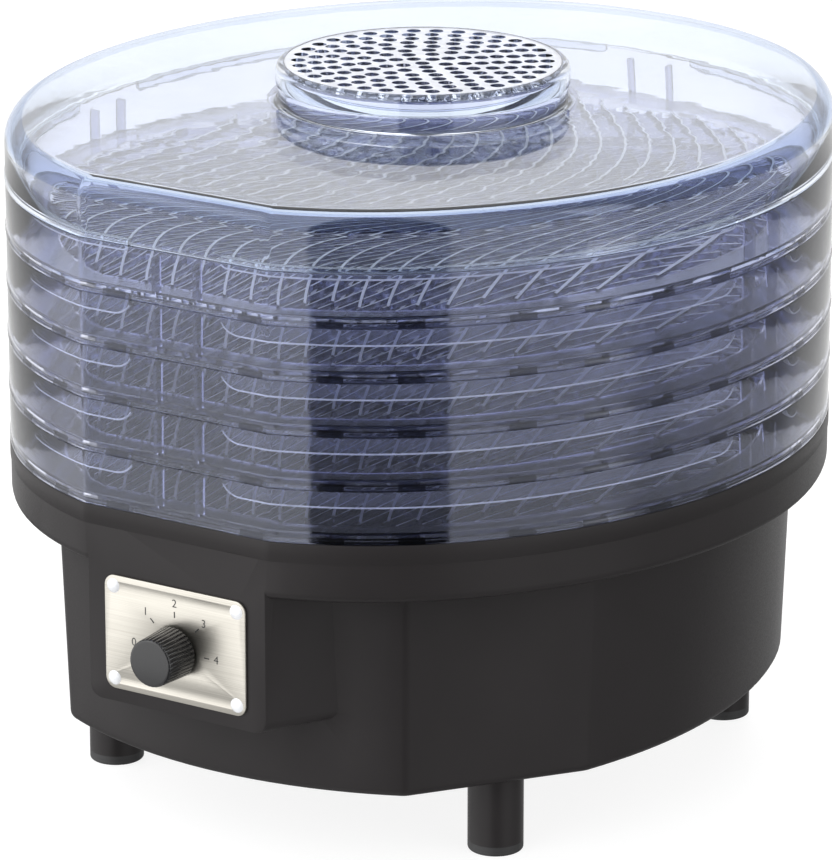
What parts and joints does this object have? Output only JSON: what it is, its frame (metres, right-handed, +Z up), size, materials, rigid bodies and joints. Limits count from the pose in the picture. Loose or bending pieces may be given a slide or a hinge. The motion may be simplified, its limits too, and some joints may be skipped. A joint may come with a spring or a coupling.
{
  "type": "food dehydrator",
  "caption": "Countertop food dehydrator: black fan and heater base with a control knob, a stack of clear lift-off trays and a vented lid.",
  "frame": {"origin": "on the floor under the middle of the object's box, so the feet stand on Z = 0", "axes": "+Z up, the control panel faces -Y, +X to the viewer's right when facing the panel"},
  "size_m": [0.3184, 0.3732, 0.2858],
  "materials": {
    "black_plastic": "satin, finely textured",
    "rubber": "matte",
    "zinc_steel": "bright zinc",
    "brushed_plate": "brushed along its length",
    "white_rivet": "glossy",
    "switch_plastic": "matte",
    "knob_plastic": "semi-gloss",
    "galvanised_sheet": "spangled zinc",
    "motor_steel": "satin",
    "fan_plastic": "satin",
    "mica": "flaky sheet",
    "heater_wire": "dull nickel-chromium",
    "smoky_tray": "clear moulded plastic with a smoky blue tint",
    "clear_lid": "clear moulded plastic"
  },
  "bodies": {
    "base": {"base_housing": "black_plastic", "air_deck": "black_plastic", "bottom_plate": "black_plastic", "foot_front_left": "black_plastic", "foot_front_right": "black_plastic", "foot_rear_left": "black_plastic", "foot_rear_right": "black_plastic", "foot_pads": "rubber", "foot_screws": "zinc_steel", "control_plate": "brushed_plate", "plate_rivets": "white_rivet", "rotary_switch": "switch_plastic", "switch_nut": "zinc_steel", "air_duct": "galvanised_sheet", "motor_bracket": "galvanised_sheet", "fan_motor": "motor_steel", "motor_screws": "zinc_steel", "heater_frame": "mica", "heater_coil": "heater_wire", "thermal_cutout": "motor_steel", "cord_gland": "rubber"},
    "knob": {"control_knob": "knob_plastic", "switch_shaft": "zinc_steel"},
    "fan": {"motor_shaft": "zinc_steel", "fan_impeller": "fan_plastic"},
    "tray_body_1": {"tray_1": "smoky_tray"},
    "tray_body_2": {"tray_2": "smoky_tray"},
    "tray_body_3": {"tray_3": "smoky_tray"},
    "tray_body_4": {"tray_4": "smoky_tray"},
    "tray_body_5": {"tray_5": "smoky_tray"},
    "lid_body": {"vented_lid": "clear_lid"}
  },
  "joints": [
    {"name": "knob_turn", "type": "hinge", "parent": "base", "child": "knob", "pos_m": [0, -0.16859, 0.0899], "axis": [0, 1, 0], "range_deg": [0, 180]},
    {"name": "fan_spin", "type": "hinge", "parent": "base", "child": "fan", "pos_m": [0, 0.00561, 0.08], "axis": [0, 0, 1], "continuous": true},
    {"name": "tray_1_lift", "type": "slide", "parent": "base", "child": "tray_body_1", "axis": [0, 0, 1], "range_m": [0, 0.06]},
    {"name": "tray_2_lift", "type": "slide", "parent": "tray_body_1", "child": "tray_body_2", "axis": [0, 0, 1], "range_m": [0, 0.06]},
    {"name": "tray_3_lift", "type": "slide", "parent": "tray_body_2", "child": "tray_body_3", "axis": [0, 0, 1], "range_m": [0, 0.06]},
    {"name": "tray_4_lift", "type": "slide", "parent": "tray_body_3", "child": "tray_body_4", "axis": [0, 0, 1], "range_m": [0, 0.06]},
    {"name": "tray_5_lift", "type": "slide", "parent": "tray_body_4", "child": "tray_body_5", "axis": [0, 0, 1], "range_m": [0, 0.06]},
    {"name": "lid_lift", "type": "slide", "parent": "tray_body_5", "child": "lid_body", "axis": [0, 0, 1], "range_m": [0, 0.12]}
  ]
}
